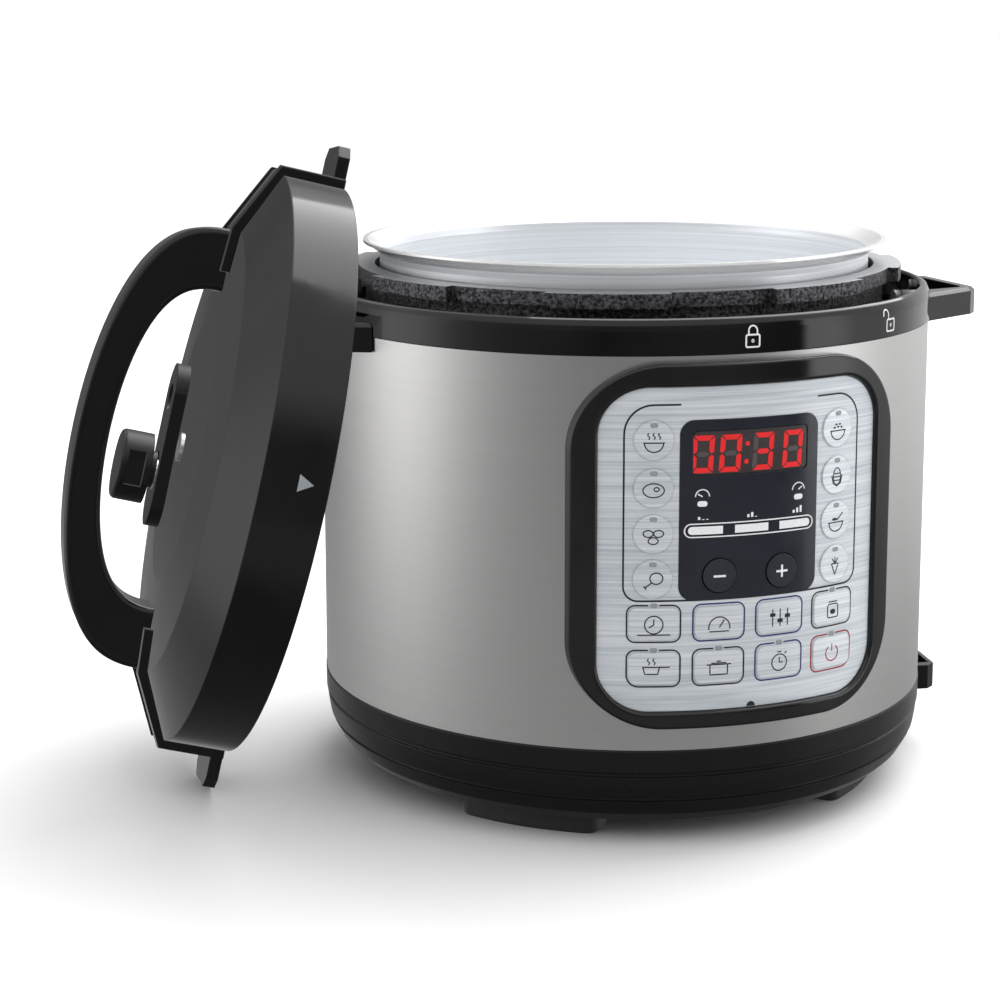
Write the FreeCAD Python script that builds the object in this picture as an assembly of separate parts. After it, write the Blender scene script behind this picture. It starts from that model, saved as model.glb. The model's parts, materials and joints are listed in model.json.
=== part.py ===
import FreeCAD, Part
import math
import os

# Electric pressure cooker with its lid leaning against the left side.
# Millimetres, +Z up, the control panel faces -Y, the side handles lie along X.
# The origin is on the cooker's axis at the height of the feet's undersides.

V = FreeCAD.Vector
UP = V(0, 0, 1)
ORIGIN = V(0, 0, 0)

# body
BODY_R = 138.0
STEEL_T = 0.8
STEEL_Z0 = 44.4
STEEL_Z1 = 209.4
FOOT_H = 8.0
FOOT_R = 119.0
FOOT_LEN = 62.0
FOOT_W = 22.0
FOOT_ANGLES = (44.0, 132.0, 228.0, 316.0)

# top ring and collar
RING_Z1 = 224.4
RING_R_LOW = 138.6
RING_R_TOP = 137.4
RING_R_IN = 133.6
TROUGH_Z = 207.0
COLLAR_Z1 = 233.0
COLLAR_Z_LUG = 226.6
COLLAR_R_IN = 113.4
COLLAR_R_NECK = 117.5
COLLAR_R_TOP = 121.0
COLLAR_R_LUG = 125.4
COLLAR_LUGS = 8
COLLAR_LUG_HALF = 12.0

# inner pot and heater
POT_R = 111.0
POT_T = 1.4
POT_RIM_R = 118.6
POT_RIM_Z = 244.2
POT_Z0 = 84.0
POT_CORNER_R = 22.0
SHIELD_R = 116.0
SHIELD_T = 1.0
SHIELD_Z0 = 58.0
HEATER_R = 92.0
HEATER_Z0 = 70.0
HEATER_GAP = 0.3
SENSOR_R = 16.0
SENSOR_TRAVEL = 2.0

# control panel, angles measured about Z from the front
BEZEL_HALF = 31.7
BEZEL_Z = (54.5, 206.8)
BEZEL_CORNER = 36.0
BEZEL_R1 = 142.4
FASCIA_HALF = 26.2
FASCIA_Z = (61.8, 197.2)
FASCIA_CORNER = 20.0
FASCIA_R0 = 139.2
FASCIA_R1 = 140.4
WINDOW_HALF = 12.6
WINDOW_Z = (108.6, 183.6)
LED_HALF = 10.4
LED_Z = (160.6, 179.0)
KEY_R1 = 141.0
KEY_GAP = 0.4
SIDE_KEY_R = 8.0
SIDE_KEY_ANGLE = 16.9
SIDE_KEY_Z = (175.6, 155.8, 136.8, 118.0)
STEP_KEY_R = 7.0
STEP_KEY_ANGLE = 5.65
STEP_KEY_Z = 118.8
PAD_KEY_W = 20.5
PAD_KEY_H = 13.2
PAD_KEY_ANGLES = (-16.65, -5.55, 5.55, 16.65)
PAD_KEY_Z = (99.2, 80.3)
BOARD_Y = -124.0
BOARD_T = 1.6
BOARD_HALF = 50.6

# side handles, spoon holder, inlet, cup
HANDLE_ROOT_R = 132.0
HANDLE_TIP = 171.0
HANDLE_ROOT_HALF = 43.0
HANDLE_TIP_HALF = 22.0
HANDLE_Z = (203.0, 215.5)
HANDLE_WALL = 6.0
HANDLE_SCREW_Z = 211.6
HANDLE_SCREW_ANGLE = 9.0
SPOON_ANGLE = -10.0
SPOON_Z = (27.0, 38.5)
SPOON_LEN = 36.0
SPOON_R1 = 149.5
INLET_Z = 27.0
INLET_W = 30.0
INLET_H = 22.0
CUP_Z = (150.0, 200.0)
CUP_W = 44.0
CUP_DEPTH = 22.0

# lid, measured from the rim plane along the lid axis
LID_R = 129.5
LID_T = 2.2
LID_SKIRT_H = 28.0
LID_EDGE_R = 101.0
LID_EDGE_H = 41.5
LID_TOP_H = 45.0
PAN_R = 127.0
PAN_T = 0.9
PAN_LUG_R = 121.8
PAN_LUG_Z = (0.0, 1.8)
PAN_TOP = 36.6
STRAP_HALF = 19.0
STRAP_PROUD = 4.0
EAR_TIP = 147.0
EAR_HALF = 17.0
EAR_T = 5.5
ARCH_RISE = 48.5
ARCH_T = 15.0
ARCH_OPEN_HALF = 72.0
ARCH_HALF_W = 14.0
VALVE_POS = (-15.0, 36.0)
FLOAT_POS = (20.0, 36.0)
ISLAND_X = (-41.0, 36.0)
KNOB_R = 16.5
KNOB_Z = (54.0, 69.0)
INNER_PLATE_R = 110.0
LID_SCREWS = ((-86.0, -9.0), (-86.0, 9.0), (86.0, -9.0), (86.0, 9.0))
INNER_PLATE_Z = 30.6
SEAL_R = (107.0, 118.6)
SEAL_Z = (19.8, 26.4)

# how the lid leans: the closed position is lifted and then tipped about a level axis
LID_CLOSED_Z = 224.6
LID_LIFT = 110.4
LEAN_DEG = 75.9
LEAN_AZIMUTH = -6.3
LEAN_REACH = 160.7
LEAN_CENTRE_Z = 143.2


def cyl(r, z0, z1, x=0.0, y=0.0):
    return Part.makeCylinder(r, z1 - z0, V(x, y, z0))


def tube(r0, r1, z0, z1, x=0.0, y=0.0):
    return cyl(r1, z0, z1, x, y).cut(cyl(r0, z0 - 1, z1 + 1, x, y))


def box(x0, x1, y0, y1, z0, z1):
    return Part.makeBox(x1 - x0, y1 - y0, z1 - z0, V(x0, y0, z0))


def revolve(points, close_on_axis=False):
    pts = [V(r, 0, z) for r, z in points]
    pts.append(pts[0])
    face = Part.Face(Part.makePolygon(pts))
    return face.revolve(ORIGIN, UP, 360)


def turn(shape, degrees, centre=ORIGIN, axis=UP):
    out = shape.copy()
    out.rotate(centre, axis, degrees)
    return out


def moved(shape, x=0.0, y=0.0, z=0.0):
    out = shape.copy()
    out.translate(V(x, y, z))
    return out


def fuse(shapes):
    out = shapes[0].multiFuse(shapes[1:]) if len(shapes) > 1 else shapes[0]
    return out.removeSplitter()


def rounded_wire(half_w, z0, z1, r, y):
    """A rounded rectangle in the plane y, centred on x = 0."""
    k = r * (1 - math.sqrt(0.5))
    x0, x1 = -half_w, half_w
    corners = [
        (V(x1 - r, y, z0), V(x1 - k, y, z0 + k), V(x1, y, z0 + r)),
        (V(x1, y, z1 - r), V(x1 - k, y, z1 - k), V(x1 - r, y, z1)),
        (V(x0 + r, y, z1), V(x0 + k, y, z1 - k), V(x0, y, z1 - r)),
        (V(x0, y, z0 + r), V(x0 + k, y, z0 + k), V(x0 + r, y, z0)),
    ]
    edges = []
    for i, (a, b, c) in enumerate(corners):
        edges.append(Part.Arc(a, b, c).toShape())
        following = corners[(i + 1) % 4][0]
        if c.distanceToPoint(following) > 1e-6:
            edges.append(Part.LineSegment(c, following).toShape())
    return Part.Wire(edges)


def front_prism(half_w, z0, z1, r):
    """A rounded block that runs from outside the front inwards."""
    face = Part.Face(rounded_wire(half_w, z0, z1, r, -170.0))
    return face.extrude(V(0, 60, 0))


def curved_plate(half_w, z, r, r0, r1):
    shell = tube(r0, r1, z[0] - 2, z[1] + 2)
    return shell.common(front_prism(half_w, z[0], z[1], r))


def arc_half(degrees, radius):
    return radius * math.sin(math.radians(degrees))


# ---------------------------------------------------------------- base


def base_shell():
    outer = [
        (0, 8.0), (112.0, 8.0), (122.0, 8.6), (127.5, 10.6), (131.8, 14.6), (134.4, 19.2),
        (135.4, 21.0), (134.6, 21.6), (134.6, 22.8), (136.4, 23.4), (137.2, 28.0),
        (137.7, 32.2), (136.9, 32.8), (136.9, 34.0), (138.2, 34.6), (138.3, 43.6), (137.6, 44.4),
    ]
    inner = [
        (134.6, 44.4), (134.6, 36.0), (133.6, 30.0), (131.6, 22.0), (128.4, 16.4), (123.0, 12.4),
        (112.0, 12.0), (0, 12.0),
    ]
    shell = revolve(outer + inner)
    shell = shell.cut(box(-INLET_W / 2, INLET_W / 2, 120, 145, INLET_Z - INLET_H / 2, INLET_Z + INLET_H / 2))
    shell = shell.cut(cyl(70.0, 7.0, 13.0))
    for a in FOOT_ANGLES:
        shell = shell.cut(turn(cyl(2.1, 7.0, 14.0, FOOT_R - 14.0), a))
    return shell


def bottom_cover():
    plate = cyl(76.0, 12.0, 14.0)
    plate = plate.fuse(cyl(69.7, 9.0, 12.0))
    slots = [box(-30, 30, y - 2, y + 2, 8, 15) for y in range(-48, 49, 12)]
    for slot in slots:
        plate = plate.cut(slot)
    return plate


def foot():
    bar = box(FOOT_R - FOOT_W, FOOT_R, -FOOT_LEN / 2, FOOT_LEN / 2, 0, FOOT_H)
    bar = bar.common(cyl(FOOT_R, -1, FOOT_H + 1))
    upright = [e for e in bar.Edges if abs(e.Vertexes[0].Z - e.Vertexes[-1].Z) > FOOT_H - 0.1]
    bar = bar.makeFillet(5.0, upright)
    low = [e for e in bar.Edges if max(v.Z for v in e.Vertexes) < 0.1]
    return bar.makeChamfer(1.0, low).cut(cyl(2.05, 3.0, FOOT_H + 1, FOOT_R - 14.0))


def feet():
    return Part.makeCompound([turn(foot(), a) for a in FOOT_ANGLES])


def base_screws():
    out = []
    for a in FOOT_ANGLES:
        screw = cyl(2.05, 3.0, 13.0, FOOT_R - 14.0).fuse(cyl(4.0, 12.0, 14.5, FOOT_R - 14.0))
        out.append(turn(screw, a))
    return Part.makeCompound(out)


def steel_housing():
    skin = tube(BODY_R - STEEL_T, BODY_R, STEEL_Z0, STEEL_Z1)
    hem = tube(BODY_R - 3.2, BODY_R - STEEL_T, STEEL_Z0, STEEL_Z0 + 1.0)
    lip = tube(BODY_R - 3.2, BODY_R - STEEL_T, STEEL_Z1 - 1.0, STEEL_Z1)
    window = front_prism(arc_half(FASCIA_HALF, FASCIA_R0) - 1.0, FASCIA_Z[0] + 2, FASCIA_Z[1] - 2, 18.0)
    return fuse([skin, hem, lip]).cut(window)


def top_ring():
    section = [
        (120.0, TROUGH_Z), (120.0, TROUGH_Z - 2.4), (133.0, TROUGH_Z - 2.4), (134.4, STEEL_Z1 - 1.2),
        (134.4, STEEL_Z1), (RING_R_LOW, STEEL_Z1), (RING_R_LOW, STEEL_Z1 + 10.0), (RING_R_TOP + 0.6, RING_Z1 - 2.6),
        (RING_R_TOP - 0.4, RING_Z1 - 0.6), (RING_R_TOP - 1.6, RING_Z1), (RING_R_IN + 0.8, RING_Z1),
        (RING_R_IN, RING_Z1 - 0.8), (RING_R_IN, TROUGH_Z),
    ]
    ring = revolve(section)
    drain = box(-4, 4, 122, 130, TROUGH_Z - 4, TROUGH_Z + 1)
    ring = ring.cut(drain)
    for hole in handle_screw_part(1.9, 133.0, 142.6):
        ring = ring.cut(hole)
    return ring


def side_handle():
    zb, zt = HANDLE_Z
    root, tip = HANDLE_ROOT_R, HANDLE_TIP
    a, b = HANDLE_ROOT_HALF, HANDLE_TIP_HALF
    plan = [V(root, -a, zb), V(tip - 5, -b - 5, zb), V(tip, -b, zb), V(tip, b, zb), V(tip - 5, b + 5, zb), V(root, a, zb)]
    block = Part.Face(Part.makePolygon(plan + [plan[0]])).extrude(V(0, 0, zt - zb))
    block = block.cut(cyl(RING_R_LOW, zb - 1, zt + 1))
    w = HANDLE_WALL
    hole = [V(144.0, -a + 17, 0), V(tip - w - 3, -b - 1, 0), V(tip - w, -b + 3, 0)]
    hole = hole + [V(p.x, -p.y, 0) for p in reversed(hole)]
    pocket = Part.Face(Part.makePolygon(hole + [hole[0]])).extrude(V(0, 0, 40))
    block = block.cut(moved(pocket, z=zb + 2.4))
    edges = [e for e in block.Edges if min(v.Z for v in e.Vertexes) > zt - 0.1 and max(v.X for v in e.Vertexes) > 145]
    outer = [e for e in edges if e.BoundBox.XMax > tip - 0.5 or abs(e.BoundBox.YMax) > 35 or abs(e.BoundBox.YMin) > 35]
    block = block.makeChamfer(1.6, outer)
    for hole in handle_screw_part(1.9, 133.0, 142.6):
        block = block.cut(hole)
    return block


def handle_screw_part(r, r0, r1):
    rod = Part.makeCylinder(r, r1 - r0, V(r0, 0, HANDLE_SCREW_Z), V(1, 0, 0))
    return [turn(rod, side + a) for side in (0, 180) for a in (-HANDLE_SCREW_ANGLE, HANDLE_SCREW_ANGLE)]


def handle_screws():
    shanks = handle_screw_part(1.9, 133.0, 142.6)
    heads = handle_screw_part(3.8, 130.6, 133.4)
    return Part.makeCompound([a.fuse(b).removeSplitter() for a, b in zip(shanks, heads)])


def outer_pot():
    r, t = SHIELD_R, SHIELD_T
    z0, z1 = SHIELD_Z0, TROUGH_Z - 2.4
    section = [
        (30.0, z0), (r - 10, z0), (r, z0 + 10), (r, z1 - t), (r + 13, z1 - t), (r + 13, z1),
        (r - t, z1), (r - t, z0 + 10.4), (r - 10.4, z0 + t), (30.0, z0 + t),
    ]
    return revolve(section)


def locking_collar():
    z0 = TROUGH_Z
    neck = tube(COLLAR_R_IN, COLLAR_R_NECK, z0 - 2.4, COLLAR_Z1)
    foot_ring = tube(COLLAR_R_IN, 119.6, z0 - 2.4, z0 + 2.0)
    top = tube(COLLAR_R_IN, COLLAR_R_TOP, COLLAR_Z_LUG, COLLAR_Z1)
    parts = [neck, foot_ring, top]
    lug_ring = tube(COLLAR_R_TOP - 1, COLLAR_R_LUG, COLLAR_Z_LUG, COLLAR_Z1)
    for i in range(COLLAR_LUGS):
        parts.append(sector(lug_ring, i * 360.0 / COLLAR_LUGS + 20.0, COLLAR_LUG_HALF))
    return fuse(parts)


def sector(shape, centre, half):
    """The part of a ring within a given half angle of a direction."""
    r = 400.0
    a0 = math.radians(centre - half)
    a1 = math.radians(centre + half)
    pts = [V(0, 0, -500), V(r * math.cos(a0), r * math.sin(a0), -500), V(r * math.cos(a1), r * math.sin(a1), -500)]
    wedge = Part.Face(Part.makePolygon(pts + [pts[0]])).extrude(V(0, 0, 1000))
    return shape.common(wedge)


def heating_plate():
    top = POT_Z0 - HEATER_GAP
    plate = revolve([
        (SENSOR_R + 1.5, HEATER_Z0), (HEATER_R, HEATER_Z0), (HEATER_R, top - 2.0), (HEATER_R - 2.0, top),
        (SENSOR_R + 1.5, top),
    ])
    element = Part.makeTorus(66.0, 4.5, V(0, 0, HEATER_Z0 + 0.5))
    lugs = [turn(cyl(4.0, SHIELD_Z0 + SHIELD_T, HEATER_Z0 + 1, 45.0), a) for a in (30, 150, 270)]
    return fuse([plate, element] + lugs)


def temperature_sensor():
    top = POT_Z0 - HEATER_GAP
    cap = cyl(SENSOR_R, top - 4.0, top)
    stem = cyl(7.0, 50.0, top - 3.0)
    return cap.fuse(stem).removeSplitter()


def sensor_spring():
    coils = [Part.makeTorus(10.0, 0.8, V(0, 0, 49.9 + i * 4.8)) for i in range(7)]
    return Part.makeCompound(coils)


def sensor_bracket():
    plate = tube(7.3, 40.0, 47.4, 49.0)
    posts = [turn(cyl(3.0, 49.0, SHIELD_Z0, 36.0), a) for a in (30, 150, 270)]
    return fuse([plate] + posts)


# ---------------------------------------------------------------- control panel


def key_direction(angle):
    a = math.radians(angle)
    return V(math.sin(a), -math.cos(a), 0)


def round_key(angle, z, r, r1):
    """A round key with a stem that runs inwards to the switch behind it."""
    d = key_direction(angle)
    start = r1 - 3.0
    body = Part.makeCylinder(r, 8.0, d * start + V(0, 0, z), d)
    body = body.common(cyl(r1, z - r - 1, z + r + 1))
    stem_end = (-BOARD_Y + 4.7) / math.cos(math.radians(angle))
    stem = Part.makeCylinder(2.2, start + 0.5 - stem_end, d * stem_end + V(0, 0, z), d)
    return body.fuse(stem).removeSplitter()


def pad_key(angle, z):
    block = front_prism(PAD_KEY_W / 2, z - PAD_KEY_H / 2, z + PAD_KEY_H / 2, 3.0)
    key = tube(KEY_R1 - 3.0, KEY_R1, z - PAD_KEY_H, z + PAD_KEY_H).common(block)
    stem_end = (-BOARD_Y + 4.7) / math.cos(math.radians(angle))
    stem = Part.makeCylinder(2.2, KEY_R1 - 2.8 - stem_end, V(0, -stem_end, z), V(0, -1, 0))
    return turn(key.fuse(stem).removeSplitter(), angle)


def key_layout():
    """Name, kind, angle and height of every key."""
    keys = []
    for i, z in enumerate(SIDE_KEY_Z):
        keys.append(("key_left_%d" % (i + 1), "side", -SIDE_KEY_ANGLE, z))
    for i, z in enumerate(SIDE_KEY_Z):
        keys.append(("key_right_%d" % (i + 1), "side", SIDE_KEY_ANGLE, z))
    keys.append(("key_minus", "step", -STEP_KEY_ANGLE, STEP_KEY_Z))
    keys.append(("key_plus", "step", STEP_KEY_ANGLE, STEP_KEY_Z))
    for row, z in enumerate(PAD_KEY_Z):
        for col, angle in enumerate(PAD_KEY_ANGLES):
            keys.append(("key_pad_%d_%d" % (row + 1, col + 1), "pad", angle, z))
    return keys


def key_solid(kind, angle, z):
    if kind == "side":
        return round_key(angle, z, SIDE_KEY_R, KEY_R1)
    if kind == "step":
        return round_key(angle, z, STEP_KEY_R, KEY_R1 + 0.3)
    return pad_key(angle, z)


def key_hole(kind, angle, z):
    d = key_direction(angle)
    if kind == "pad":
        g = KEY_GAP
        block = front_prism(PAD_KEY_W / 2 + g, z - PAD_KEY_H / 2 - g, z + PAD_KEY_H / 2 + g, 3.0 + g)
        return turn(block, angle)
    r = (SIDE_KEY_R if kind == "side" else STEP_KEY_R) + KEY_GAP
    return Part.makeCylinder(r, 30.0, d * 128.0 + V(0, 0, z), d)


def control_bezel():
    plate = curved_plate(arc_half(BEZEL_HALF, BODY_R), BEZEL_Z, BEZEL_CORNER, BODY_R, BEZEL_R1)
    hole = front_prism(arc_half(FASCIA_HALF, FASCIA_R1), FASCIA_Z[0], FASCIA_Z[1], FASCIA_CORNER)
    frame = plate.cut(hole.common(cyl(200, 0, 300).cut(cyl(FASCIA_R0, 0, 300))))
    inner = front_prism(arc_half(FASCIA_HALF, FASCIA_R0) - 3.0, FASCIA_Z[0] + 3, FASCIA_Z[1] - 3, 17.0)
    frame = frame.cut(inner)
    rim = [e for e in frame.Edges if min(math.hypot(v.X, v.Y) for v in e.Vertexes) > BEZEL_R1 - 0.05]
    rim = [e for e in rim if math.hypot(e.CenterOfMass.x, e.CenterOfMass.y) > BEZEL_R1 - 12]
    return frame.makeFillet(1.5, rim)


def control_fascia():
    plate = curved_plate(arc_half(FASCIA_HALF, FASCIA_R1) - 0.15, (FASCIA_Z[0] + 0.15, FASCIA_Z[1] - 0.15),
                         FASCIA_CORNER - 0.15, FASCIA_R0, FASCIA_R1)
    plate = plate.cut(front_prism(arc_half(WINDOW_HALF, FASCIA_R1), WINDOW_Z[0], WINDOW_Z[1], 6.0))
    for name, kind, angle, z in key_layout():
        if kind != "step":
            plate = plate.cut(key_hole(kind, angle, z))
    return plate


def display_window():
    plate = curved_plate(arc_half(WINDOW_HALF, FASCIA_R1) - 0.1, (WINDOW_Z[0] + 0.1, WINDOW_Z[1] - 0.1),
                         5.9, FASCIA_R0, FASCIA_R1 + 0.3)
    plate = plate.cut(front_prism(arc_half(LED_HALF, FASCIA_R1), LED_Z[0], LED_Z[1], 2.0))
    for name, kind, angle, z in key_layout():
        if kind == "step":
            plate = plate.cut(key_hole(kind, angle, z))
    return plate


def led_display():
    face = curved_plate(arc_half(LED_HALF, FASCIA_R1) - 0.2, (LED_Z[0] + 0.2, LED_Z[1] - 0.2), 2.1,
                        FASCIA_R0 - 2.0, FASCIA_R1)
    hw = arc_half(LED_HALF, FASCIA_R1) - 0.3
    body = box(-hw, hw, -137.2, BOARD_Y - BOARD_T, LED_Z[0] + 0.4, LED_Z[1] - 0.4)
    return face.fuse(body).removeSplitter()


def control_board():
    board = box(-BOARD_HALF, BOARD_HALF, BOARD_Y - BOARD_T, BOARD_Y, 68, 192)
    parts = [board]
    for name, kind, angle, z in key_layout():
        d = key_direction(angle)
        reach = (-BOARD_Y + BOARD_T) / math.cos(math.radians(angle))
        x = d.x * reach
        parts.append(box(x - 3, x + 3, BOARD_Y - BOARD_T - 1.8, BOARD_Y - BOARD_T + 0.2, z - 3, z + 3))
    return fuse(parts)


def board_frame():
    """Two rails that hold the board's edges behind the fascia."""
    rails = []
    for side in (1, -1):
        x0, x1 = sorted((side * BOARD_HALF, side * (BOARD_HALF + 4.0)))
        rail = box(x0, x1, -140.0, BOARD_Y, 66.0, 194.0).common(cyl(BODY_R - STEEL_T, 0, 300))
        rails.append(rail)
    return Part.makeCompound(rails)


def power_board():
    board = box(-45, 45, 118.4, 120.0, 52, 112)
    relay = box(-36, -16, 120.0, 131.0, 58, 78)
    coil = Part.makeCylinder(9.0, 11.0, V(5, 120.0, 70), V(0, 1, 0))
    caps = [Part.makeCylinder(4.0, 10.0, V(x, 120.0, 96), V(0, 1, 0)) for x in (-25, -12, 1)]
    return fuse([board, relay, coil] + caps)


def pressure_switch():
    body = cyl(9.0, 30.0, 44.0, 60.0, 60.0)
    stem = cyl(3.0, 44.0, SHIELD_Z0, 60.0, 60.0)
    return body.fuse(stem).removeSplitter()


# ---------------------------------------------------------------- outside fittings


def spoon_holder():
    z0, z1 = SPOON_Z
    h = SPOON_LEN / 2
    plan = [V(130, -h, z0), V(SPOON_R1 - 4, -h, z0), V(SPOON_R1, -h + 4, z0), V(SPOON_R1, h - 4, z0),
            V(SPOON_R1 - 4, h, z0), V(130, h, z0)]
    block = Part.Face(Part.makePolygon(plan + [plan[0]])).extrude(V(0, 0, z1 - z0))
    block = block.cut(cyl(138.3, z0 - 1, z1 + 1))
    slot = box(140.2, 147.4, -h + 5.0, h - 5.0, z0 + 1.6, z1 + 1)
    return turn(block.cut(slot), SPOON_ANGLE)


def power_inlet():
    w, h, z = INLET_W / 2 - 0.1, INLET_H / 2 - 0.1, INLET_Z
    body = box(-w, w, 116.0, 136.4, z - h, z + h)
    flange = box(-w - 3, w + 3, 136.0, 139.0, z - h - 2, z + h + 2)
    flange = flange.cut(cyl(138.2, 0, 60).cut(box(-w, w, 100, 160, z - h, z + h)))
    block = body.fuse(flange).removeSplitter()
    cavity = box(-w + 2.4, w - 2.4, 121.0, 145.0, z - h + 2.4, z + h - 2.4)
    return block.cut(cavity).cut(inlet_pins()).cut(base_shell())


def inlet_pins():
    pins = []
    for x, z in ((-7.0, INLET_Z - 2.0), (7.0, INLET_Z - 2.0), (0.0, INLET_Z + 2.4)):
        pins.append(box(x - 1.0, x + 1.0, 119.0, 134.0, z - 2.0, z + 2.0))
    return Part.makeCompound(pins)


def cup_bracket():
    """Two upright rails and a bottom stop that hold the condensation cup."""
    z0, z1 = CUP_Z
    w = CUP_W / 2
    plate = tube(BODY_R, BODY_R + 2.0, z0 - 3.0, z1 + 4).common(box(-w - 5, w + 5, 100, 160, 0, 300))
    parts = [plate, box(-w - 5, w + 5, 136.0, 144.8, z0 - 3.0, z0 - 0.2)]
    for side in (1, -1):
        x0, x1 = sorted((side * (w + 2.5), side * (w + 5)))
        parts.append(box(x0, x1, 136.0, 144.8, z0 - 3.0, z1 + 4))
        x0, x1 = sorted((side * (w + 0.5), side * (w + 5)))
        parts.append(box(x0, x1, 143.0, 144.8, z0 - 3.0, z1 + 4))
    return fuse(parts).cut(cyl(BODY_R, 0, 300))


def condensation_cup():
    z0, z1 = CUP_Z
    y0 = BODY_R + 2.6
    w = CUP_W / 2
    outer = box(-w, w, y0, y0 + CUP_DEPTH, z0, z1)
    upright = [e for e in outer.Edges if e.BoundBox.ZLength > 20 and e.BoundBox.YMin > y0 + 1]
    outer = outer.makeFillet(7.0, upright)
    inner = box(-w + 1.8, w - 1.8, y0 + 1.8, y0 + CUP_DEPTH - 1.8, z0 + 1.8, z1 + 1)
    flange = box(-w - 2, w + 2, y0, y0 + 1.8, z0, z1)
    lip = box(-w + 6, w - 6, y0 + CUP_DEPTH - 0.5, y0 + CUP_DEPTH + 3.0, z1 - 2.0, z1)
    return fuse([outer.cut(inner), flange, lip])


# ---------------------------------------------------------------- pot


def inner_pot():
    r, t, c = POT_R, POT_T, POT_CORNER_R
    z0, zr, rr = POT_Z0, POT_RIM_Z, POT_RIM_R
    outer = [(0.0, z0), (r - c, z0)]
    for i in range(1, 9):
        a = math.radians(90.0 * i / 8)
        outer.append((r - c + c * math.sin(a), z0 + c - c * math.cos(a)))
    outer += [(r, zr - 8.0), (r + 0.6, zr - 5.4), (rr - 1.4, zr - 1.6), (rr, zr - 1.2), (rr, zr), (rr - 2.0, zr)]
    inner = [(r - 0.8, zr - 4.4), (r - t, zr - 7.6)]
    for i in range(8, -1, -1):
        a = math.radians(90.0 * i / 8)
        inner.append((r - c + (c - t) * math.sin(a), z0 + c - (c - t) * math.cos(a)))
    inner.append((0.0, z0 + t))
    return revolve(outer + inner)


# ---------------------------------------------------------------- lid, drawn with its rim plane at z = 0


def lid_outline(grow, bottom=0.0):
    """Outer profile of the lid grown outwards by a wall thickness, as (radius, height)."""
    k = grow
    return [
        (LID_R + k, bottom), (LID_R + k, LID_SKIRT_H + 0.4 * k), (LID_EDGE_R + 0.4 * k, LID_EDGE_H + k),
        (60.0, LID_EDGE_H + 2.6 + k), (0.0, LID_TOP_H + k),
    ]


def lid_shell():
    outer = revolve(lid_outline(0.0) + [(0.0, 0.0)])
    inner = revolve(lid_outline(-LID_T, -1.0) + [(0.0, -1.0)])
    shell = outer.cut(inner)
    shell = shell.cut(cyl(9.6, 30, 60, VALVE_POS[0], VALVE_POS[1]))
    shell = shell.cut(cyl(6.4, 30, 60, FLOAT_POS[0], FLOAT_POS[1]))
    shell = shell.cut(cyl(7.0, 30, 60))
    return shell.cut(lid_screw_shanks())


def pressure_pan():
    r, t = PAN_R, PAN_T
    z_in = PAN_TOP
    section = [
        (0.0, z_in), (96.0, z_in), (r, LID_SKIRT_H - 2.6), (r, PAN_LUG_Z[0]), (r - t, PAN_LUG_Z[0]),
        (r - t, LID_SKIRT_H - 3.2), (95.6, z_in - t - 0.2), (0.0, z_in - t - 0.2),
    ]
    pan = revolve(section)
    lug_ring = tube(PAN_LUG_R, r - t + 0.1, PAN_LUG_Z[0], PAN_LUG_Z[1])
    lugs = [sector(lug_ring, i * 360.0 / COLLAR_LUGS + 20.0, 8.5) for i in range(COLLAR_LUGS)]
    pan = fuse([pan] + lugs)
    pan = pan.cut(cyl(7.0, 20, 40))
    pan = pan.cut(cyl(8.0, 20, 40, VALVE_POS[0], VALVE_POS[1]))
    pan = pan.cut(cyl(6.3, 20, 40, FLOAT_POS[0], FLOAT_POS[1]))
    float_seat = tube(3.4, 6.3, PAN_TOP - 2.0, 42.0, FLOAT_POS[0], FLOAT_POS[1])
    return pan.fuse(float_seat).removeSplitter()


def lid_strap():
    """Band over the lid's skirt and chamfer that carries the handle and ends in two ears."""
    w, p = STRAP_HALF, STRAP_PROUD
    grown = revolve(lid_outline(p) + [(0.0, 0.0)])
    plain = revolve(lid_outline(0.0, -1.0) + [(0.0, -1.0)])
    band = grown.cut(plain).common(box(-200, 200, -w, w, 0.0, 100))
    groove = box(-200, 200, -w + 7.0, w - 7.0, 0.0, 100)
    lower = revolve(lid_outline(p - 1.6, -1.0) + [(0.0, -1.0)])
    band = band.cut(groove.cut(lower))
    parts = [band]
    for side in (1, -1):
        h = EAR_HALF
        plan = [V(LID_R + 0.5, -h, 0), V(EAR_TIP - 5, -h, 0), V(EAR_TIP, -h + 5, 0), V(EAR_TIP, h - 5, 0),
                V(EAR_TIP - 5, h, 0), V(LID_R + 0.5, h, 0)]
        ear = Part.Face(Part.makePolygon(plan + [plan[0]])).extrude(V(0, 0, EAR_T))
        ear = ear.cut(cyl(LID_R, -1, 20))
        parts.append(ear if side > 0 else turn(ear, 180))
    strap = fuse(parts)
    gap = box(-ARCH_OPEN_HALF - 9, ARCH_OPEN_HALF + 9, -200, 200, 30, 100)
    strap = strap.cut(gap.common(cyl(LID_EDGE_R - 12, 0, 100)))
    return strap.cut(lid_handle()).cut(lid_screw_shanks())


def arch_curve(half, height, z0, n=24):
    pts = []
    for i in range(n + 1):
        a = math.pi * i / n
        x = half * math.cos(a)
        s = math.sin(a)
        pts.append(V(x, 0, z0 + height * s ** 0.72))
    return pts


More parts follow.
